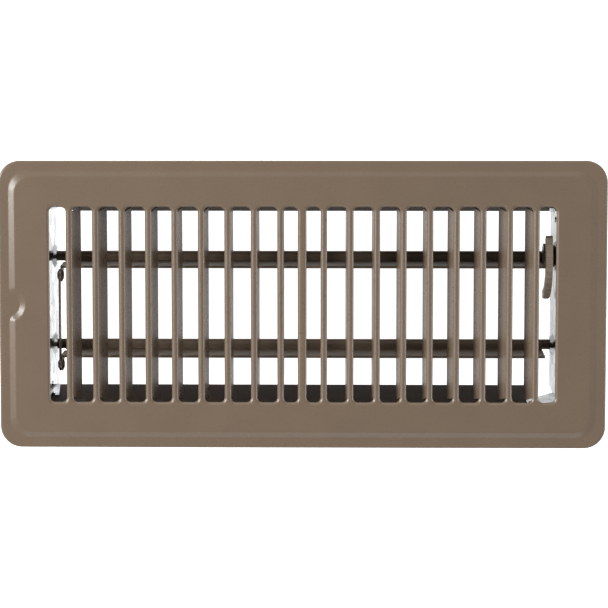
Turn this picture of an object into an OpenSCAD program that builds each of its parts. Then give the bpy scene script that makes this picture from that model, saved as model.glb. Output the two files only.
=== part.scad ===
// Floor grille with a stamped louvred face, a drop-in damper box and a two-blade damper.
// Frame: origin at the centre of the face, on the floor plane. +X runs along the length,
// +Y across the width towards the rear blade, and +Z points up out of the floor.
// The damper is drawn open. Lengths are in millimetres and angles in degrees.

/* [Face plate] */
// Length of the face plate
face_l = 292; // [288:1:300]
// Width of the face plate
face_w = 138.5; // [134:0.5:146]
// Radius of the plate's corners in plan
face_corner_r = 10.5; // [9.5:0.5:14]
// Thickness of the face sheet
face_t = 0.9; // [0.7:0.1:1.1]
// Height of the outer rim above the floor
rim_h = 3; // [2.4:0.1:3]
// Width of the flat outer rim
rim_w = 4.5; // [3.5:0.5:5]
// Width of the curved step from the rim to the panel
step_w = 3.8; // [3:0.1:4]
// Height of the louvred panel above the floor
panel_h = 4.4; // [4.4:0.1:5]
// Radius of the half-round dent in the step at the left end
dent_r = 5; // [3:0.5:7]

/* [Louvres] */
// Number of fins on each side of the middle one
fins_per_side = 9; // [7:1:9]
// Distance between neighbouring fins
fin_pitch = 12.7; // [12:0.1:12.8]
// Distance from the middle fin to the next one
first_fin_x = 10.4; // [10:0.1:10.6]
// Width of the flat top of a fin
fin_w = 3.1; // [2.6:0.1:3.6]
// Width of the flat top of the middle fin
middle_fin_w = 4.2; // [3.6:0.1:5]
// Length of the slots
slot_l = 94; // [88:0.1:96]
// Half of the distance across the whole row of slots
slots_half_l = 121.5; // [121:0.1:122.3]
// Corner radius of a slot
slot_r = 2.3; // [1.5:0.1:3]
// Depth of a vane, from the panel's top to the vane's lower edge
vane_h = 9.8; // [7:0.1:9.8]
// Lean added by every second vane, counted from the middle fin outwards
lean_step = 5; // [3:0.5:5]

/* [Damper box] */
// Half of the distance between the end walls' inner faces
box_half_l = 123; // [122.8:0.1:123.4]
// Half of the distance between the side walls' inner faces, under the face
box_half_w_top = 48.6; // [48.4:0.1:49.6]
// The same at the bottom of the box
box_half_w_bottom = 43.6; // [43.6:0.1:45]
// Depth of the box from the top of the face
box_d = 44.5; // [42:0.5:52]
// Thickness of the box and blade sheet
box_t = 0.6; // [0.5:0.05:0.6]

/* [Damper] */
// Distance from each blade's pivot to the middle of the box
pivot_y = 21.85; // [21.75:0.05:22.1]
// Depth of the pivots below the top of the face
pivot_d = 32.4; // [32.2:0.1:34]
// Lean of the open blades from the vertical
open_tilt = 5; // [3:0.1:8]
// Reach of a blade from its pivot up to its near edge
near_reach = 21.1; // [20:0.1:21.3]
// Reach of a blade from its pivot down to its far edge
far_reach = 21.8; // [20:0.1:21.9]

/* [Thumb lever] */
// Radius of the lever's ribbed rim about the rear pivot
lever_r = 21.1; // [20:0.1:22]
// Angle from upright to the rim's end on the rear side
lever_rear_angle = 32; // [24:1:34]
// Angle from upright to the rim's end on the front side
lever_front_angle = 86; // [70:1:92]
// Number of ribs across the rim
rib_count = 13; // [9:1:15]

/* [Hidden] */
$fn = 48;

cut = 1;                              // how far a cutting tool runs past the face it cuts
gap = 0.05;                           // running clearance of a pin, and play beside a moving plate

// Face plate
edge_r = 1;                           // outer radius of the rolled edge and of the vane folds
curve_steps = 6;                      // straight facets along one rolled curve
vane_end_gap = 0.9;                   // how far a vane stops short of the slot's end
underside_z = panel_h - face_t;       // height of the panel's underside, where the box hangs

// Damper box
box_bottom_z = panel_h - box_d;
flange_w = 6;                         // width of the flanges that hold the box under the face
wall_slope = atan2(box_half_w_top - box_half_w_bottom, underside_z - box_bottom_z);
tab_l = 15;                           // length of an end wall's corner tab
tab_d = 26.3;                         // depth of that tab at the end wall, below the top of the face
tab_slant = 48;                       // slope of the tab's lower edge
lip_l = 4;                            // reach of the lip along an end wall's other edge
lip_foot = 0.4;                       // width of that lip at its bottom
lip_slant = 6;                        // lean of the lip's edge, which widens it upwards
lip_d = 19;                           // depth of the lip's top below the top of the face
notch_d = 15;                         // depth of the notch's top below the top of the face
notch_w = 2.4;
notch_h = 7.5;
cutback = 8;                          // how far a side wall stops short behind the tab
wrap_w = 12;                          // width of a side wall's flange around the other corner
tab_rivet_x = box_half_l - 12;
tab_rivet_z = panel_h - 7;
wrap_rivet_y = 40.3;
wrap_rivet_z = panel_h - 20;
rivet_r = 1;
rivet_head_r = 1.7;
rivet_head_h = 0.45;
head_taper = 0.6;                     // top radius of a rivet's head as a share of its base radius
web_share = 0.8;                      // width of a web where it meets a round eye, as a share of it
boss_r = 6.1;                         // base radius of the embossed seat around a pivot
boss_face_r = 4.2;
boss_h = 1.2;
seat_x = box_half_l - boss_h;         // face of the embossed seat

// Damper blades, drawn about their pivot with Y across the sheet and Z up along it
pivot_z = panel_h - pivot_d;
bead_r = 2.5;                         // outer radius of the bead that holds the pivot pins
sheet_y = -bead_r;                    // back face of the blade's sheet, level with the bead's back
blade_left_x = -117.8;
blade_right_x = 117.75;
hem_w = 3;
relief_h = 5.5;                       // height of the notch between the bead and the crank ear
relief_w = 2;

// Crank, link and their pin, given about the pivot with the damper open
link_pin_y = -8.5;
link_pin_z = 16.9;
ear_r = 3.2;
link_end_r = 3.2;
link_w = 5;
link_pin_r = 1.3;
link_head_r = 2.75;
link_head_h = 0.7;
washer_t = 0.3;

// Pivot pins
stub_r = 2;
shank_r = bead_r - box_t - gap;
shank_l = 12;
stub_end_x = box_half_l + box_t + 0.4;

// Thumb lever
lever_x = blade_right_x + 0.1;
rim_t = 3.35;
rim_depth = 4.4;
hub_r = 5;
hub_t = 2.1;
web_t = 1.2;
lever_back_x = lever_x + 3.05;        // back face of the lever's hub, web and rivet boss
rib_r = 0.5;
rib_inset = 0.35;                     // how far a rib stops short of the rim's sides
lever_pin_y = 4.8;
lever_pin_z = 11;
lever_lug_r = 3;
lever_head_r = 2.4;
friction_r = 7.2;
friction_t = 0.4;
web_inset = 2;                        // angle from each end of the rim to the web's flank
flank_r = 4.6;                        // radius of the hollow in the web's front flank
flank_d = 11;                         // distance of that hollow from the pivot

// ---------- helpers ----------

// Extrudes a shape drawn in Y and Z along X, from x0 for the length t
module yz_plate(x0, t) {
    translate([x0, 0, 0])
        rotate([90, 0, 90])
            linear_extrude(t)
                children();
}

// A round bar along X, from x0 to x1
module x_bar(r, x0, x1) {
    translate([x0, 0, 0])
        rotate([0, 90, 0])
            cylinder(r = r, h = x1 - x0);
}

// A rivet along X with a chamfered head at each end, gripping from x0 to x1
module x_rivet(r, head_r, head_h, x0, x1) {
    x_bar(r, x0, x1);
    translate([x1, 0, 0])
        rotate([0, 90, 0])
            cylinder(r1 = head_r, r2 = head_taper * head_r, h = head_h);
    translate([x0, 0, 0])
        rotate([0, -90, 0])
            cylinder(r1 = head_r, r2 = head_taper * head_r, h = head_h);
}

// A flat ring along X
module x_washer(outer_r, inner_r, x0, t) {
    difference() {
        x_bar(outer_r, x0, x0 + t);
        x_bar(inner_r, x0 - cut, x0 + t + cut);
    }
}

// Moves its children to the front pivot (side -1) or the rear pivot (side 1)
module at_pivot(side) {
    translate([0, side * pivot_y, pivot_z])
        children();
}

// Leans its children with the open blade
module leaned() {
    rotate([open_tilt, 0, 0])
        children();
}

// The same part turned half a turn about the upright axis
module turned() {
    rotate([0, 0, 180])
        children();
}

// A lug in the Y-Z plane: a round eye at p, and a web from it to an upright line at y, from z0 up
module lug(p, r, y, z0) {
    foot = [y, z0];
    away = atan2(foot[1] - p[1], foot[0] - p[0]) + (p[0] < y ? -90 : 90);
    reach = web_share * r;
    translate(p) circle(r = r);
    polygon([
        foot,
        [y, p[1] + reach],
        [p[0], p[1] + reach],
        p,
        [p[0] + reach * cos(away), p[1] + reach * sin(away)]
    ]);
}

// ---------- face plate ----------

// Height of the step at the share s of its width: a smooth curve from 0 to 1
function step_rise(s) = rim_h + (panel_h - rim_h) * (1 - cos(180 * s)) / 2;

// Points of the step, from start with the sheet lowered by t
function step_points(start, t) =
    [for (i = [0:curve_steps]) [start + step_w * i / curve_steps, step_rise(i / curve_steps) - t]];

// Section of the plate's border: distance in from the outer edge, and height
function border_section(t, z0) = concat(
    [[t, z0]],
    [for (i = [0:curve_steps])
        let (a = 90 * i / curve_steps, r = edge_r - t)
        [t + r * (1 - cos(a)), rim_h - edge_r + r * sin(a)]],
    step_points(rim_w, t),
    [[face_corner_r, panel_h - t], [face_corner_r, z0]]
);

// The plate's form as a solid block, drawn in by t: the sheet is the block less the drawn-in block
module face_form(t, z0) {
    section = border_section(t, z0);
    for (s = [-1, 1]) {
        rotate([90, 0, 0])
            linear_extrude(face_w - 2 * face_corner_r, center = true)
                polygon([for (p = section) [s * (face_l / 2 - p[0]), p[1]]]);
        rotate([90, 0, 90])
            linear_extrude(face_l - 2 * face_corner_r, center = true)
                polygon([for (p = section) [s * (face_w / 2 - p[0]), p[1]]]);
    }
    for (k = [0:3]) {
        sx = (k == 0 || k == 3) ? 1 : -1;
        sy = (k < 2) ? 1 : -1;
        translate([sx * (face_l / 2 - face_corner_r), sy * (face_w / 2 - face_corner_r), 0])
            rotate([0, 0, 90 * k])
                rotate_extrude(angle = 90)
                    polygon([for (p = section) [face_corner_r - p[0], p[1]]]);
    }
    translate([face_corner_r - face_l / 2, face_corner_r - face_w / 2, z0])
        cube([face_l - 2 * face_corner_r, face_w - 2 * face_corner_r, panel_h - t - z0]);
}

// What the half-round dent takes away from the step
module dent_tool(t) {
    translate([rim_w - face_l / 2, 0, 0])
        rotate([0, 0, -90])
            rotate_extrude(angle = 180)
                polygon(concat(
                    [[0, panel_h + cut], [0, rim_h - t]],
                    step_points(dent_r, t),
                    [[dent_r + step_w, panel_h + cut]]
                ));
}

module slot(x0, x1) {
    half = slot_l / 2 - slot_r;
    translate([0, 0, underside_z - cut])
        linear_extrude(face_t + 2 * cut) {
            translate([x0 + slot_r, -slot_l / 2]) square([x1 - x0 - 2 * slot_r, slot_l]);
            translate([x0, -half]) square([x1 - x0, 2 * half]);
            for (x = [x0 + slot_r, x1 - slot_r], y = [-half, half])
                translate([x, y]) circle(r = slot_r);
        }
}

function fin_x(i) = first_fin_x + i * fin_pitch;
function lean_of(i) = lean_step * ceil(i / 2);

// Section of a vane that hangs from a fin's edge at x0 and leans on by the angle a
function vane_section(x0, a) =
    let (
        turn = 90 - a,
        outer = [for (i = [0:curve_steps])
            [x0 + edge_r * sin(turn * i / curve_steps),
             panel_h - edge_r + edge_r * cos(turn * i / curve_steps)]],
        inner_r = edge_r - face_t,
        inner = [for (i = [curve_steps:-1:0])
            [x0 + inner_r * sin(turn * i / curve_steps),
             panel_h - edge_r + inner_r * cos(turn * i / curve_steps)]],
        leg = (vane_h - edge_r) / cos(a),
        run = [leg * sin(a), -leg * cos(a)]
    )
    concat(
        [[x0 - edge_r, panel_h]],
        outer,
        [outer[curve_steps] + run, inner[0] + run],
        inner,
        [[x0 - edge_r, underside_z]]
    );

// The vane of fin i on the right half: it hangs from the fin's side that faces the middle
module vane(i) {
    section = vane_section(fin_w / 2 - fin_x(i), lean_of(i));
    rotate([90, 0, 0])
        linear_extrude(slot_l - 2 * vane_end_gap, center = true)
            polygon([for (p = section) [-p[0], p[1]]]);
}

module face_plate() {
    color([0.5, 0.44, 0.38]) {
        difference() {
            difference() {
                face_form(0, 0);
                dent_tool(0);
            }
            difference() {
                face_form(face_t, -cut);
                dent_tool(face_t);
            }
            for (s = [0, 180])
                rotate([0, 0, s]) {
                    slot(middle_fin_w / 2, fin_x(0) - fin_w / 2);
                    for (i = [1:fins_per_side - 1])
                        slot(fin_x(i - 1) + fin_w / 2, fin_x(i) - fin_w / 2);
                    slot(fin_x(fins_per_side - 1) + fin_w / 2, slots_half_l);
                }
        }
        for (s = [0, 180], i = [0:fins_per_side - 1])
            rotate([0, 0, s])
                vane(i);
    }
}

// ---------- damper box ----------

// Inner half width of the box at the height z
function wall_y(z) = box_half_w_bottom + (z - box_bottom_z) * tan(wall_slope);

// Outline of a tapered wall's section with its inner face moved out by y
function wall_section(y, z0) = [
    [wall_y(z0) + y, z0],
    [wall_y(underside_z) + y, underside_z],
    [wall_y(underside_z) + y + box_t, underside_z],
    [wall_y(z0) + y + box_t, z0]
];

// Puts its children, which run along X, square to the rear side wall at the tab rivet's height
module at_tab_rivet(x) {
    translate([x, wall_y(tab_rivet_z), tab_rivet_z])
        rotate([-wall_slope, 0, 0])
            rotate([0, 0, 90])
                children();
}

// The rear side wall: cut back at its left end, wrapped round the end wall at its right end
module side_wall() {
    left_x = cutback - box_half_l;
    wrap_x = box_half_l + box_t + gap;
    wrap_top_z = underside_z - box_t - gap;
    difference() {
        union() {
            yz_plate(left_x, wrap_x + box_t - left_x)
                polygon(wall_section(0, box_bottom_z));
            translate([left_x, box_half_w_top, underside_z - box_t])
                cube([box_half_l - left_x, flange_w, box_t]);
            yz_plate(wrap_x, box_t)
                polygon([
                    [wall_y(box_bottom_z) + box_t / 2, box_bottom_z],
                    [wall_y(wrap_top_z) + box_t / 2, wrap_top_z],
                    [wrap_rivet_y - wrap_w / 2, wrap_top_z],
                    [wrap_rivet_y - wrap_w / 2, box_bottom_z + wrap_w / 2],
                    [wrap_rivet_y - wrap_w / 4, box_bottom_z]
                ]);
        }
        translate([0, wrap_rivet_y, wrap_rivet_z])
            x_bar(rivet_r + gap / 2, wrap_x - cut, wrap_x + box_t + cut);
        at_tab_rivet(-tab_rivet_x)
            x_bar(rivet_r + gap / 2, -cut, box_t + cut);
    }
}

// Outline of the end wall: it stands between the tapered side walls
module end_wall_outline() {
    polygon([
        [gap - wall_y(box_bottom_z), box_bottom_z],
        [gap - wall_y(underside_z), underside_z],
        [wall_y(underside_z) - gap, underside_z],
        [wall_y(box_bottom_z) - gap, box_bottom_z]
    ]);
}

// The embossed seat of a pivot, as a cone pushed in from the wall at x
module seat_cone(x) {
    translate([x, 0, 0])
        rotate([0, -90, 0])
            cylinder(r1 = boss_r, r2 = boss_face_r, h = boss_h);
}

// A tapered lip along the inside of the front side wall, bent from the left end wall's edge
module end_lip() {
    lip_z = panel_h - lip_d;
    mirror([0, 1, 0])
        difference() {
            yz_plate(-box_half_l - box_t, lip_l)
                polygon([
                    [wall_y(box_bottom_z) - gap - box_t, box_bottom_z],
                    [wall_y(lip_z) - gap - box_t, lip_z],
                    [wall_y(lip_z) - gap, lip_z],
                    [wall_y(box_bottom_z) - gap, box_bottom_z]
                ]);
            translate([lip_foot - box_half_l, 0, box_bottom_z])
                rotate([0, lip_slant, 0])
                    cube([2 * lip_l, 2 * box_half_w_top, box_d]);
        }
}

// A tab with a slanted lower edge inside the rear side wall, bent from the left end wall's edge
module end_tab() {
    tab_z = panel_h - tab_d;
    difference() {
        yz_plate(-box_half_l - box_t, tab_l)
            polygon(wall_section(-gap - box_t, tab_z));
        translate([-box_half_l, 0, tab_z])
            rotate([0, -tab_slant, 0])
                translate([0, 0, -2 * tab_l])
                    cube([2 * tab_l, 2 * box_half_w_top, 2 * tab_l]);
    }
}

// The left end wall: its tab lies inside the rear side wall and its lip inside the front one
module end_wall() {
    face_x = -box_half_l - box_t;
    flange_half_w = box_half_w_top - box_t;
    notch_z = panel_h - notch_d;
    difference() {
        union() {
            yz_plate(face_x, box_t)
                end_wall_outline();
            translate([face_x - flange_w, -flange_half_w, underside_z - box_t])
                cube([flange_w + box_t, 2 * flange_half_w, box_t]);
            end_tab();
            end_lip();
            for (s = [-1, 1])
                at_pivot(s)
                    mirror([1, 0, 0]) seat_cone(box_half_l);
        }
        for (s = [-1, 1])
            at_pivot(s) {
                mirror([1, 0, 0]) seat_cone(box_half_l + box_t);
                x_bar(stub_r + gap, -box_half_l - cut, cut - box_half_l + boss_h);
            }
        translate([0, -wrap_rivet_y, wrap_rivet_z])
            x_bar(rivet_r + gap / 2, face_x - cut, cut - box_half_l);
        translate([face_x - cut, -wall_y(notch_z) - cut, notch_z - notch_h])
            cube([box_t + 2 * cut, notch_w + cut, notch_h]);
        at_tab_rivet(-tab_rivet_x)
            x_bar(rivet_r + gap / 2, -box_t - gap - cut, cut);
    }
}

module side_wall_rear() {
    color([0.2, 0.16, 0.13]) side_wall();
}

module side_wall_front() {
    color([0.2, 0.16, 0.13]) turned() side_wall();
}

module end_wall_left() {
    color([0.78, 0.79, 0.8]) end_wall();
}

module end_wall_right() {
    color([0.78, 0.79, 0.8]) turned() end_wall();
}

// One rivet through each tab and one through each wrapped flange
module corner_rivets() {
    wrap_grip = box_half_l + 2 * box_t + gap;
    color([0.7, 0.7, 0.72])
        for (s = [0, 180])
            rotate([0, 0, s]) {
                at_tab_rivet(-tab_rivet_x)
                    x_rivet(rivet_r, rivet_head_r, rivet_head_h, -box_t - gap, box_t);
                translate([0, wrap_rivet_y, wrap_rivet_z])
                    x_rivet(rivet_r, rivet_head_r, rivet_head_h, box_half_l, wrap_grip);
            }
}

// ---------- damper ----------

// The open channel along the blade's pivot line, which grips the pins: half a tube and two legs
module blade_bead() {
    length = blade_right_x - blade_left_x;
    difference() {
        x_bar(bead_r, blade_left_x, blade_right_x);
        x_bar(bead_r - box_t, blade_left_x - cut, blade_right_x + cut);
        translate([blade_left_x - cut, -bead_r - cut, -bead_r - cut])
            cube([length + 2 * cut, bead_r + cut, 2 * (bead_r + cut)]);
    }
    for (z = [-bead_r, bead_r - box_t])
        translate([blade_left_x, sheet_y, z])
            cube([length, -sheet_y, box_t]);
}

// A blade, drawn about its pivot: sheet, hem, bead and crank ear
module blade() {
    front_y = sheet_y + box_t;
    near_z = near_reach - box_t;
    length = blade_right_x - blade_left_x;
    ear_pin = [
        link_pin_y * cos(open_tilt) + link_pin_z * sin(open_tilt),
        link_pin_z * cos(open_tilt) - link_pin_y * sin(open_tilt)
    ];
    leaned()
        difference() {
            union() {
                translate([blade_left_x, sheet_y, bead_r - box_t])
                    cube([length, box_t, near_z - bead_r + box_t]);
                translate([blade_left_x, sheet_y, -far_reach])
                    cube([length, box_t, far_reach - bead_r + box_t]);
                translate([blade_left_x, sheet_y - box_t, near_z - hem_w])
                    cube([length, box_t, hem_w]);
                translate([0, sheet_y, near_z])
                    x_bar(box_t, blade_left_x, blade_right_x);
                blade_bead();
                yz_plate(blade_left_x, box_t)
                    lug(ear_pin, ear_r, front_y, bead_r + relief_h);
            }
            translate([blade_left_x - cut, sheet_y - cut, bead_r])
                cube([relief_w + cut, box_t + 2 * cut, relief_h]);
            translate([0, ear_pin[0], ear_pin[1]])
                x_bar(link_pin_r + gap / 2, blade_left_x - cut, blade_left_x + box_t + cut);
        }
}

// Moves its children from the rear pivot to the rivet that joins the lever to the blade
module at_lever_pin() {
    leaned()
        translate([0, lever_pin_y, lever_pin_z])
            children();
}

// The lug on the rear blade's right end, which the lever is riveted to
module lever_lug() {
    difference() {
        leaned()
            yz_plate(blade_right_x - box_t, box_t)
                lug([lever_pin_y, lever_pin_z], lever_lug_r, sheet_y, bead_r + box_t);
        at_lever_pin()
            x_bar(rivet_r + gap / 2, blade_right_x - box_t - cut, blade_right_x + cut);
    }
}

module blade_front() {
    color([0.24, 0.2, 0.17]) at_pivot(-1) blade();
}

module blade_rear() {
    color([0.24, 0.2, 0.17])
        at_pivot(1) {
            blade();
            lever_lug();
        }
}

// A pivot pin on the right: stub through the end wall, shoulder, and shank in the bead
module pivot_pin(end_x) {
    x_bar(stub_r, seat_x - gap, stub_end_x);
    x_bar(bead_r, end_x + gap, seat_x - gap);
    x_bar(shank_r, end_x - shank_l, end_x + gap);
}

module pivot_pin_front_right() {
    color([0.16, 0.15, 0.14]) at_pivot(-1) pivot_pin(blade_right_x);
}

module pivot_pin_rear_right() {
    color([0.16, 0.15, 0.14]) at_pivot(1) pivot_pin(blade_right_x);
}

module pivot_pin_front_left() {
    color([0.16, 0.15, 0.14]) at_pivot(-1) mirror([1, 0, 0]) pivot_pin(-blade_left_x);
}

module pivot_pin_rear_left() {
    color([0.16, 0.15, 0.14]) at_pivot(1) mirror([1, 0, 0]) pivot_pin(-blade_left_x);
}

// Moves its children to the link pin of one blade
module at_link_pin(side) {
    at_pivot(side)
        translate([0, link_pin_y, link_pin_z])
            children();
}

washer_x = blade_left_x - gap - washer_t;
link_x = washer_x - gap - box_t;

// The link: a flat strip with a round eye at each end
module tie_link() {
    color([0.55, 0.53, 0.48])
        difference() {
            union() {
                translate([link_x, link_pin_y - pivot_y, pivot_z + link_pin_z - link_w / 2])
                    cube([box_t, 2 * pivot_y, link_w]);
                for (s = [-1, 1])
                    at_link_pin(s)
                        x_bar(link_end_r, link_x, link_x + box_t);
            }
            for (s = [-1, 1])
                at_link_pin(s)
                    x_bar(link_pin_r + gap, link_x - cut, link_x + box_t + cut);
        }
}

module link_rivet(side) {
    color([0.3, 0.25, 0.2])
        at_link_pin(side)
            x_rivet(link_pin_r, link_head_r, link_head_h, link_x - gap, blade_left_x + box_t);
}

module link_rivet_front() {
    link_rivet(-1);
}

module link_rivet_rear() {
    link_rivet(1);
}

module link_washer(side) {
    color([0.62, 0.62, 0.6])
        at_link_pin(side)
            x_washer(link_head_r, link_pin_r + gap, washer_x, washer_t);
}

module link_washer_front() {
    link_washer(-1);
}

module link_washer_rear() {
    link_washer(1);
}

// ---------- thumb lever ----------

// The flat web between the hub and the rim, with a hollow in its front flank
module lever_web() {
    reach = lever_r - rim_depth + rib_r;
    web_x = lever_back_x - web_t;
    first = 90 - lever_rear_angle + web_inset;
    last = 90 + lever_front_angle - web_inset;
    arc = [for (i = [0:curve_steps])
        let (a = first + (last - first) * i / curve_steps)
        [reach * cos(a), reach * sin(a)]];
    difference() {
        yz_plate(web_x, web_t)
            polygon(concat([[web_share * hub_r, 0]], arc, [[0, -web_share * hub_r]]));
        translate([0, flank_d * cos(last), flank_d * sin(last)])
            x_bar(flank_r, web_x - cut, web_x + web_t + cut);
    }
}

module thumb_lever() {
    base_r = lever_r - rib_r;
    span = lever_front_angle + lever_rear_angle;
    color([0.5, 0.44, 0.38])
        at_pivot(1)
            difference() {
                union() {
                    translate([lever_x, 0, 0])
                        rotate([90, 0, 90])
                            rotate([0, 0, 90 - lever_rear_angle])
                                rotate_extrude(angle = span)
                                    translate([lever_r - rim_depth, 0])
                                        square([rim_depth - rib_r, rim_t]);
                    for (i = [0:rib_count - 1])
                        rotate([span * (i + 0.5) / rib_count - lever_rear_angle, 0, 0])
                            translate([0, 0, base_r])
                                x_bar(rib_r, lever_x + rib_inset, lever_x + rim_t - rib_inset);
                    lever_web();
                    x_bar(hub_r, lever_back_x - hub_t, lever_back_x);
                    at_lever_pin() x_bar(lever_lug_r, lever_x, lever_back_x);
                }
                x_bar(bead_r + gap / 2, lever_x - cut, lever_back_x + cut);
                at_lever_pin() x_bar(rivet_r + gap / 2, lever_x - cut, lever_back_x + cut);
            }
}

module lever_rivet() {
    color([0.45, 0.4, 0.35])
        at_pivot(1)
            at_lever_pin()
                x_rivet(rivet_r, lever_head_r, rivet_head_h, blade_right_x - box_t, lever_back_x);
}

// A dished washer between the lever's hub and the end wall, which keeps the damper where it is set
module friction_washer() {
    inner = [bead_r + gap, seat_x - gap - friction_t];
    outer = [friction_r, lever_back_x + gap];
    color([0.1, 0.1, 0.1])
        at_pivot(1)
            rotate([0, 90, 0])
                rotate_extrude()
                    polygon([inner, outer, outer + [0, friction_t], inner + [0, friction_t]]);
}

face_plate();
side_wall_front();
side_wall_rear();
end_wall_left();
end_wall_right();
corner_rivets();
blade_front();
blade_rear();
pivot_pin_front_left();
pivot_pin_front_right();
pivot_pin_rear_left();
pivot_pin_rear_right();
tie_link();
link_rivet_front();
link_rivet_rear();
link_washer_front();
link_washer_rear();
thumb_lever();
lever_rivet();
friction_washer();
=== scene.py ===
from math import atan2, ceil, cos, degrees, radians, sin, sqrt, tan

import bmesh
import bpy
from mathutils import Matrix, Vector


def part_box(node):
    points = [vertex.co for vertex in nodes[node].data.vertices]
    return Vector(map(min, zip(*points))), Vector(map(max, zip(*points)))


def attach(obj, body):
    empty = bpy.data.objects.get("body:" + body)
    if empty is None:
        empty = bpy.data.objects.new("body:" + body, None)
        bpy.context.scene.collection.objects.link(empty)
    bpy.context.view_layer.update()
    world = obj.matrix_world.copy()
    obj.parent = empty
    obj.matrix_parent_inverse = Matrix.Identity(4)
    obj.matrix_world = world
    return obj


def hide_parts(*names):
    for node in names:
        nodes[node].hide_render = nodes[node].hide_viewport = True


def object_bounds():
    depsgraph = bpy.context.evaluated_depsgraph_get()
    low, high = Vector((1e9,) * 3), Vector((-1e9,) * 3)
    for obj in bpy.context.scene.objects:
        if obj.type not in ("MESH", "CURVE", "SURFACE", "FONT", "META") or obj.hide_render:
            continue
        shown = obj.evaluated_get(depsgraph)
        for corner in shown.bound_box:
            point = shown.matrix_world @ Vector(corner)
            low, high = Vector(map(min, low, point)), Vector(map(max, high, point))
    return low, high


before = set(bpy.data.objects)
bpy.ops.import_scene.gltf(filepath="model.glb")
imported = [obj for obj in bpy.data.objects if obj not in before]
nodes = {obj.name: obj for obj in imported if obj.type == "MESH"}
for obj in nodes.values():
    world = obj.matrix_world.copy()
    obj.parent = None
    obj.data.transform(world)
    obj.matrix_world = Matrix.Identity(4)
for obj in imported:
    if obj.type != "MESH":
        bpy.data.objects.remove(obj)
cad_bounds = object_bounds()

# Lengths of the object and of the camera's place are in millimetres; MM turns them into metres.
MM = 0.001


def mm_box(node):
    """Lowest and highest corner of a CAD node, in millimetres."""
    low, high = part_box(node)
    return low / MM, high / MM


# ---------- sizes ----------

# Face plate
PLATE_LOW, PLATE_HIGH = mm_box("face_plate")
FACE_L = PLATE_HIGH.x - PLATE_LOW.x
FACE_W = PLATE_HIGH.y - PLATE_LOW.y
PANEL_H = PLATE_HIGH.z
VANE_BOTTOM = PLATE_LOW.z
FACE_T = 0.9
FACE_CORNER_R = 10.5
CORNER_TIGHTENING = 0.3     # how much the corner radius shrinks per millimetre inwards
EDGE_R = 1.0                # radius of the rolled outer edge
RIM_H = 3.3
RIM_W = 4.5
STEP_W = 3.8
BEND_SHARE = 0.25           # share of the step's width that each of its two bends takes
DENT_R = 5.0
DENT_FLARE_R = 4.4          # radius where the dent runs out into the straight step

# Slots, fins and vanes
FINS_PER_SIDE = 9
FIN_PITCH = 12.7
FIRST_FIN_X = 10.4
FIN_W = 3.1
MIDDLE_FIN_W = 4.2
SLOT_L = 94.0
SLOT_R = 2.3
SLOTS_HALF_L = 121.5
VANE_HALF_L = 46.7          # half the length of a vane's lower edge
LEAN_STEP = 5               # lean added by every second vane, in degrees
SIDE_ROLL = 1.3             # width of the rolled edge along a slot's sides
END_ROLL = 1.6              # the same at its ends
ROLL_SHAPE = 1.5            # 1 makes the roll a quarter ellipse and 2 a flat bevel

# Fineness of the mesh
CORNER_FACETS = 14
FLARE_FACETS = 8
EDGE_FACETS = 6
STEP_RINGS = 14
SLOT_CORNER_FACETS = 8
ROLL_FACETS = 6
MARGIN = 0.3                # width of the flat band next to a bend, which keeps its shading apart
OUTER_RING = 1.15           # size of the flat ring around a slot, as a share of its roll
SHARP_ANGLE = 20            # edges that turn more than this stay sharp


# ---------- mesh helpers ----------

def new_object(name, mesh, material, body):
    """Links a mesh whose points are in millimetres, and fixes it to a CAD body."""
    for vertex in mesh.vertices:
        vertex.co *= MM
    obj = bpy.data.objects.new(name, mesh)
    bpy.context.scene.collection.objects.link(obj)
    mesh.materials.append(material)
    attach(obj, body)
    return obj


def smooth(mesh):
    """Shades a mesh smooth, but keeps the edges sharp where the angle is large."""
    mesh.shade_smooth()
    mesh.set_sharp_from_angle(angle=radians(SHARP_ANGLE))


def finish_mesh(bm, name):
    """Turns a bmesh into a smooth mesh."""
    mesh = bpy.data.meshes.new(name)
    bm.to_mesh(mesh)
    bm.free()
    smooth(mesh)
    return mesh


def thicken(obj, thickness):
    """Gives an object's sheet a thickness behind its faces."""
    modifier = obj.modifiers.new("thickness", "SOLIDIFY")
    modifier.thickness = thickness * MM
    modifier.offset = -1
    modifier.use_even_offset = True
    bpy.context.view_layer.update()
    graph = bpy.context.evaluated_depsgraph_get()
    mesh = bpy.data.meshes.new_from_object(obj.evaluated_get(graph))
    obj.modifiers.remove(modifier)
    obj.data = mesh
    smooth(mesh)


def join_rings(bm, ring_a, ring_b, open_last=False):
    """Faces between two rings of vertices with the same count."""
    count = len(ring_a)
    for i in range(count - 1 if open_last else count):
        j = (i + 1) % count
        bm.faces.new((ring_a[i], ring_a[j], ring_b[j], ring_b[i]))


def ring_edges(bm, ring):
    """The edges of a closed ring of vertices."""
    return [bm.edges.get((a, b)) for a, b in zip(ring, ring[1:] + ring[:1])]


def arc(cx, cy, rx, ry, a0, a1, steps):
    """Points of an elliptical arc, with both ends, for angles in degrees."""
    points = []
    for i in range(steps + 1):
        a = radians(a0 + (a1 - a0) * i / steps)
        points.append((cx + rx * cos(a), cy + ry * sin(a)))
    return points


# ---------- face plate ----------

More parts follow.
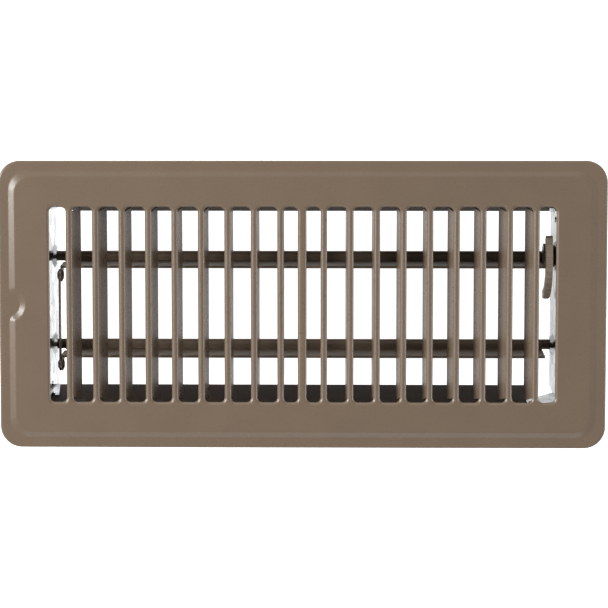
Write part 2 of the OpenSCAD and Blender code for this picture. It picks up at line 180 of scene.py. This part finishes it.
def border_loop(inset):
    """Outline of the plate at a distance in from its edge. Past the rim it runs round the dent."""
    half_l = FACE_L / 2 - inset
    half_w = FACE_W / 2 - inset
    past = max(0.0, inset - RIM_W)
    line_x = RIM_W - FACE_L / 2
    flare_y = sqrt((DENT_R + DENT_FLARE_R) ** 2 - DENT_FLARE_R ** 2)
    turn = degrees(atan2(flare_y, DENT_FLARE_R))
    flare = DENT_FLARE_R - past
    left = arc(line_x + DENT_FLARE_R, flare_y, flare, flare, 180, 180 + turn, FLARE_FACETS)
    left += arc(line_x, 0, DENT_R + past, DENT_R + past, turn, -turn, CORNER_FACETS)[1:]
    left += arc(line_x + DENT_FLARE_R, -flare_y, flare, flare, 180 - turn, 180, FLARE_FACETS)[1:]
    if inset < RIM_W:
        left = [(-half_l, y) for x, y in left]
    r = FACE_CORNER_R - CORNER_TIGHTENING * inset
    cx = half_l - r
    cy = half_w - r
    points = list(left)
    for sx, sy, start in ((-1, -1, 180), (1, -1, 270), (1, 1, 0), (-1, 1, 90)):
        points += arc(sx * cx, sy * cy, r, r, start, start + 90, CORNER_FACETS)
    return points


def step_rise(share):
    """Height of the step between the rim and the panel: a bend, a straight slope, a bend back."""
    rise = PANEL_H - RIM_H
    slope = rise / (1 - BEND_SHARE)
    if share < BEND_SHARE:
        return RIM_H + slope * share ** 2 / (2 * BEND_SHARE)
    if share > 1 - BEND_SHARE:
        return PANEL_H - slope * (1 - share) ** 2 / (2 * BEND_SHARE)
    return RIM_H + slope * (share - BEND_SHARE / 2)


def border_rings():
    """Inset and height of each ring, from the rim's lower edge to the panel."""
    rings = [(0, 0)]
    for i in range(EDGE_FACETS + 1):
        a = radians(90 * i / EDGE_FACETS)
        rings.append((EDGE_R * (1 - cos(a)), RIM_H - EDGE_R * (1 - sin(a))))
    rings.append((EDGE_R + MARGIN, RIM_H))
    rings.append((RIM_W - MARGIN, RIM_H))
    for i in range(STEP_RINGS + 1):
        share = i / STEP_RINGS
        rings.append((RIM_W + STEP_W * share, step_rise(share)))
    rings.append((RIM_W + STEP_W + MARGIN, PANEL_H))
    return rings


def fin_x(i):
    """Middle of a fin on the right half, counted outwards from the one next to the middle fin."""
    return FIRST_FIN_X + i * FIN_PITCH


def slot_spans():
    """Left edge, right edge and lean of the vane on the right edge, for the slots of the right half."""
    spans = [(MIDDLE_FIN_W / 2, fin_x(0) - FIN_W / 2)]
    for i in range(1, FINS_PER_SIDE):
        spans.append((fin_x(i - 1) + FIN_W / 2, fin_x(i) - FIN_W / 2))
    leans = [LEAN_STEP * ceil(i / 2) for i in range(FINS_PER_SIDE)]
    last = (fin_x(FINS_PER_SIDE - 1) + FIN_W / 2, SLOTS_HALF_L, None)
    return [(a, b, lean) for (a, b), lean in zip(spans, leans)] + [last]


def slot_ring(x0, x1, growth):
    """Outline of a slot, grown by a share of the rolled edge's width."""
    half = SLOT_L / 2 - SLOT_R
    rx = SLOT_R + SIDE_ROLL * growth
    ry = SLOT_R + END_ROLL * growth
    points = []
    for cx, cy, start in (
        (x1 - SLOT_R, half, 0),
        (x0 + SLOT_R, half, 90),
        (x0 + SLOT_R, -half, 180),
        (x1 - SLOT_R, -half, 270),
    ):
        points += arc(cx, cy, rx, ry, start, start + 90, SLOT_CORNER_FACETS)
    return points


def roll_levels(lean):
    """Growth and height of each ring of a slot's rolled edge. The vane leaves at 90 - lean degrees."""
    levels = [(OUTER_RING, PANEL_H)]
    angles = [(90 - lean) * k / ROLL_FACETS for k in range(ROLL_FACETS + 1)]
    if lean:
        angles.append(90)
    for angle in angles:
        a = radians(angle)
        levels.append((1 - sin(a) ** ROLL_SHAPE, PANEL_H - FACE_T * (1 - cos(a) ** ROLL_SHAPE)))
    return levels


def add_vane(bm, ring, lean, mirror):
    """Hangs a vane from the straight side of a ring, between its last point and its first."""
    top = (ring[-1], ring[0])
    run = (ring[0].co.z - VANE_BOTTOM) * tan(radians(lean))
    foot = []
    for vertex in top:
        x = vertex.co.x - mirror * run
        y = VANE_HALF_L if vertex.co.y > 0 else -VANE_HALF_L
        foot.append(bm.verts.new((x, y, VANE_BOTTOM)))
    bm.faces.new((top[0], top[1], foot[1], foot[0]))


def add_slot(bm, x0, x1, lean, mirror):
    """The rolled edge of a slot and its vane. Returns the edges of the outermost ring."""
    rings = []
    for growth, z in roll_levels(lean or 0):
        rings.append([bm.verts.new((mirror * x, y, z)) for x, y in slot_ring(x0, x1, growth)])
    for k in range(len(rings) - 1):
        join_rings(bm, rings[k], rings[k + 1], open_last=k > ROLL_FACETS)
    if lean is not None:
        add_vane(bm, rings[ROLL_FACETS + 1], lean, mirror)
    return ring_edges(bm, rings[0])


def face_plate(material):
    """The louvred stamping: rim, step, panel, slots with rolled edges, and vanes."""
    bm = bmesh.new()
    rings = []
    for inset, z in border_rings():
        rings.append([bm.verts.new((x, y, z)) for x, y in border_loop(inset)])
    for a, b in zip(rings, rings[1:]):
        join_rings(bm, a, b)
    edges = ring_edges(bm, rings[-1])
    for x0, x1, lean in slot_spans():
        for mirror in (-1, 1):
            edges += add_slot(bm, x0, x1, lean, mirror)
    bmesh.ops.triangle_fill(bm, edges=edges, use_beauty=True)
    bmesh.ops.recalc_face_normals(bm, faces=bm.faces)
    # The largest face is part of the panel, so it shows whether the sheet is inside out.
    if max(bm.faces, key=lambda face: face.calc_area()).normal.z < 0:
        bmesh.ops.reverse_faces(bm, faces=bm.faces)
    obj = new_object("louvred_face", finish_mesh(bm, "face_plate_skin"), material, "grille")
    thicken(obj, FACE_T)
    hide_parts("face_plate")


# ---------- materials ----------

RELIEF_DEPTH = 0.0001       # height of the surface relief, in metres
NOISE_LOW = 0.3             # a noise spends most of its values between these two
NOISE_HIGH = 0.7

# Fineness of the patterns, as waves or crystals per metre
CLOUD_SCALE = 60
GLOSS_SCALE = 400
PEEL_SCALE = 350
CRYSTAL_SCALE = 180
STEEL_GRAIN_SCALE = 1500
PLASTIC_GRAIN_SCALE = 1200

TAUPE = (0.174, 0.126, 0.087)
DARK_BROWN = (0.05, 0.03, 0.018)
ZINC_DARK = (0.42, 0.44, 0.46)
ZINC_LIGHT = (0.78, 0.8, 0.82)


def shader(name):
    """A new node material, its node tree and its surface shader."""
    material = bpy.data.materials.new(name)
    material.use_nodes = True
    tree = material.node_tree
    return material, tree, tree.nodes["Principled BSDF"]


def link(tree, output, target):
    tree.links.new(output, target)


def object_coordinates(tree):
    """Object coordinates in metres."""
    return tree.nodes.new("ShaderNodeTexCoord").outputs["Object"]


def noise(tree, vector, scale, detail):
    node = tree.nodes.new("ShaderNodeTexNoise")
    node.inputs["Scale"].default_value = scale
    node.inputs["Detail"].default_value = detail
    link(tree, vector, node.inputs["Vector"])
    return node.outputs["Fac"]


def ramp(tree, value, stops):
    """Maps a value to colours; stops is a list of (position, colour)."""
    node = tree.nodes.new("ShaderNodeValToRGB")
    elements = node.color_ramp.elements
    while len(elements) < len(stops):
        elements.new(0.5)
    for element, (position, colour) in zip(elements, stops):
        element.position = position
        element.color = (*colour, 1)
    link(tree, value, node.inputs["Fac"])
    return node.outputs["Color"]


def spread(tree, value, low, high):
    """Maps a value from 0..1 to low..high."""
    node = tree.nodes.new("ShaderNodeMapRange")
    node.inputs["To Min"].default_value = low
    node.inputs["To Max"].default_value = high
    link(tree, value, node.inputs["Value"])
    return node.outputs["Result"]


def bump(tree, height, strength):
    """A normal for a relief of the given strength."""
    node = tree.nodes.new("ShaderNodeBump")
    node.inputs["Strength"].default_value = strength
    node.inputs["Distance"].default_value = RELIEF_DEPTH
    link(tree, height, node.inputs["Height"])
    return node.outputs["Normal"]


def shade(colour, factor):
    return tuple(channel * factor for channel in colour)


def mottle(tree, value, colour, darkest, lightest):
    """A colour that follows a noise between two factors of itself."""
    stops = [(NOISE_LOW, shade(colour, darkest)), (NOISE_HIGH, shade(colour, lightest))]
    return ramp(tree, value, stops)


def enamel(name, colour, roughness, gloss):
    """Baked enamel on steel: faint clouds in the colour, an uneven gloss and a slight orange peel."""
    material, tree, surface = shader(name)
    vector = object_coordinates(tree)
    clouds = noise(tree, vector, CLOUD_SCALE, 3)
    link(tree, mottle(tree, clouds, colour, 0.97, 1.03), surface.inputs["Base Color"])
    fine = noise(tree, vector, GLOSS_SCALE, 2)
    link(tree, spread(tree, fine, roughness - 0.03, roughness + 0.03), surface.inputs["Roughness"])
    peel = noise(tree, vector, PEEL_SCALE, 1)
    link(tree, bump(tree, peel, 0.03), surface.inputs["Normal"])
    surface.inputs["Specular IOR Level"].default_value = gloss
    return material


def galvanised(name):
    """Hot-dip zinc: flat crystals of different brightness, gloss and direction."""
    material, tree, surface = shader(name)
    vector = object_coordinates(tree)
    cells = tree.nodes.new("ShaderNodeTexVoronoi")
    cells.inputs["Scale"].default_value = CRYSTAL_SCALE
    link(tree, vector, cells.inputs["Vector"])
    tone = tree.nodes.new("ShaderNodeSeparateColor")
    link(tree, cells.outputs["Color"], tone.inputs["Color"])
    tint = ramp(tree, tone.outputs["Red"], [(0, ZINC_DARK), (1, ZINC_LIGHT)])
    link(tree, tint, surface.inputs["Base Color"])
    surface.inputs["Metallic"].default_value = 1
    link(tree, spread(tree, tone.outputs["Green"], 0.12, 0.28), surface.inputs["Roughness"])
    link(tree, bump(tree, tone.outputs["Blue"], 0.02), surface.inputs["Normal"])
    return material


def worn_steel(name, colour, roughness):
    """Plain steel with a fine grain in its colour, gloss and relief."""
    material, tree, surface = shader(name)
    vector = object_coordinates(tree)
    grain = noise(tree, vector, STEEL_GRAIN_SCALE, 4)
    link(tree, mottle(tree, grain, colour, 0.8, 1.15), surface.inputs["Base Color"])
    surface.inputs["Metallic"].default_value = 0.9
    link(tree, spread(tree, grain, roughness - 0.08, roughness + 0.1), surface.inputs["Roughness"])
    link(tree, bump(tree, grain, 0.1), surface.inputs["Normal"])
    return material


def plastic(name, colour, roughness):
    """Moulded plastic with a faint grain."""
    material, tree, surface = shader(name)
    vector = object_coordinates(tree)
    grain = noise(tree, vector, PLASTIC_GRAIN_SCALE, 3)
    link(tree, mottle(tree, grain, colour, 0.94, 1.05), surface.inputs["Base Color"])
    link(tree, spread(tree, grain, roughness - 0.05, roughness + 0.05), surface.inputs["Roughness"])
    link(tree, bump(tree, grain, 0.15), surface.inputs["Normal"])
    return material


taupe_enamel = enamel("taupe_enamel", TAUPE, 0.28, 0.45)
dark_enamel = enamel("dark_enamel", DARK_BROWN, 0.6, 0.05)
# The blades wear the plate's taupe enamel; the five percent darkening of their colour is painted shade.
blade_enamel_painted_shade = enamel("blade_enamel_painted_shade", shade(TAUPE, 0.95), 0.4, 0.4)
zinc = galvanised("galvanised_steel")
dark_steel = worn_steel("dark_steel", (0.09, 0.07, 0.055), 0.45)
link_steel = worn_steel("link_steel", (0.24, 0.19, 0.13), 0.4)
rivet_steel = worn_steel("rivet_steel", (0.5, 0.48, 0.45), 0.35)
# The lever's pale base colour is painted light: it is about four times lighter than the taupe it stands
# for, to make up for the shade it sits in under the plate.
lever_plastic = plastic("lever_plastic", (0.72, 0.57, 0.42), 0.45)
# The friction washer is a real piece, but its near-black colour is painted shadow: the shade that falls
# between the lever and the end wall.
washer_fibre = plastic("washer_fibre", (0.01, 0.01, 0.01), 0.6)

NODE_MATERIALS = {
    "side_wall_front": dark_enamel,
    "side_wall_rear": dark_enamel,
    "end_wall_left": zinc,
    "end_wall_right": zinc,
    "corner_rivets": zinc,
    "blade_front": blade_enamel_painted_shade,
    "blade_rear": blade_enamel_painted_shade,
    "pivot_pin_front_left": dark_steel,
    "pivot_pin_front_right": dark_steel,
    "pivot_pin_rear_left": dark_steel,
    "pivot_pin_rear_right": dark_steel,
    "tie_link": link_steel,
    "link_rivet_front": dark_steel,
    "link_rivet_rear": dark_steel,
    "link_washer_front": rivet_steel,
    "link_washer_rear": rivet_steel,
    "thumb_lever": lever_plastic,
    "lever_rivet": rivet_steel,
    "friction_washer": washer_fibre,
}

for node, material in NODE_MATERIALS.items():
    mesh = nodes[node].data
    mesh.materials.clear()
    mesh.materials.append(material)

face_plate(taupe_enamel)


# ---------- floor, light and camera ----------

FLOOR_GAP = 0.3
FLOOR_HALF = 3000
FLOOR_GLOW = 0.5            # strength of the floor's light on the object; the camera sees 1
CAMERA_PLACE = Vector((19.1, 81, 1000))
CAMERA_TARGET = Vector((0.9, 0.6, PANEL_H))
CAMERA_LENS = 123.3
SKY_STRENGTH = 0.25


def floor_material():
    """A pale surface that glows like a light table. From below it is see-through."""
    material, tree, surface = shader("pale_floor")
    surface.inputs["Base Color"].default_value = (0.85, 0.85, 0.85, 1)
    surface.inputs["Roughness"].default_value = 0.8
    surface.inputs["Emission Color"].default_value = (1, 1, 1, 1)
    path = tree.nodes.new("ShaderNodeLightPath")
    glow = spread(tree, path.outputs["Is Camera Ray"], FLOOR_GLOW, 1)
    link(tree, glow, surface.inputs["Emission Strength"])
    side = tree.nodes.new("ShaderNodeNewGeometry")
    clear = tree.nodes.new("ShaderNodeBsdfTransparent")
    blend = tree.nodes.new("ShaderNodeMixShader")
    link(tree, side.outputs["Backfacing"], blend.inputs["Fac"])
    link(tree, surface.outputs["BSDF"], blend.inputs[1])
    link(tree, clear.outputs["BSDF"], blend.inputs[2])
    link(tree, blend.outputs["Shader"], tree.nodes["Material Output"].inputs["Surface"])
    return material


def floor():
    """A large plane just under the object."""
    z = cad_bounds[0][2] - FLOOR_GAP * MM
    half = FLOOR_HALF * MM
    mesh = bpy.data.meshes.new("floor")
    corners = [(x * half, y * half, z) for x, y in ((-1, -1), (1, -1), (1, 1), (-1, 1))]
    mesh.from_pydata(corners, [], [(0, 1, 2, 3)])
    mesh.materials.append(floor_material())
    obj = bpy.data.objects.new("floor", mesh)
    bpy.context.scene.collection.objects.link(obj)


def sky():
    """Even white light from all round."""
    surroundings = bpy.data.worlds.new("studio")
    bpy.context.scene.world = surroundings
    surroundings.use_nodes = True
    background = surroundings.node_tree.nodes["Background"]
    background.inputs["Color"].default_value = (1, 1, 1, 1)
    background.inputs["Strength"].default_value = SKY_STRENGTH


def area_light(name, place, size, power):
    """A rectangular light aimed at the object. Place and size are in metres, power in watts."""
    light = bpy.data.lights.new(name, "AREA")
    light.shape = "RECTANGLE"
    light.size, light.size_y = size
    light.energy = power
    obj = bpy.data.objects.new(name, light)
    obj.location = place
    obj.rotation_euler = (-Vector(place)).to_track_quat("-Z", "Y").to_euler()
    bpy.context.scene.collection.objects.link(obj)


def camera():
    """Looks down on the face; the upright of the picture runs along +Y."""
    data = bpy.data.cameras.new("camera")
    data.sensor_width = 36
    data.lens = CAMERA_LENS
    obj = bpy.data.objects.new("camera", data)
    obj.location = CAMERA_PLACE * MM
    back = (CAMERA_PLACE - CAMERA_TARGET).normalized()
    right = Vector((0, 1, 0)).cross(back).normalized()
    obj.rotation_euler = Matrix((right, back.cross(right), back)).transposed().to_euler()
    bpy.context.scene.collection.objects.link(obj)
    bpy.context.scene.camera = obj


floor()
sky()
area_light("key_softbox", (-1.25, 0.3, 0.9), (0.5, 0.9), 27)
area_light("right_fill", (1.4, 0.1, 0.35), (1, 0.5), 10)
area_light("front_strip", (0, -1.3, 1.1), (1.8, 0.5), 5)
area_light("rear_strip", (0, 1.4, 1), (1.8, 0.5), 6)
camera()
bpy.context.scene.view_settings.view_transform = "Standard"
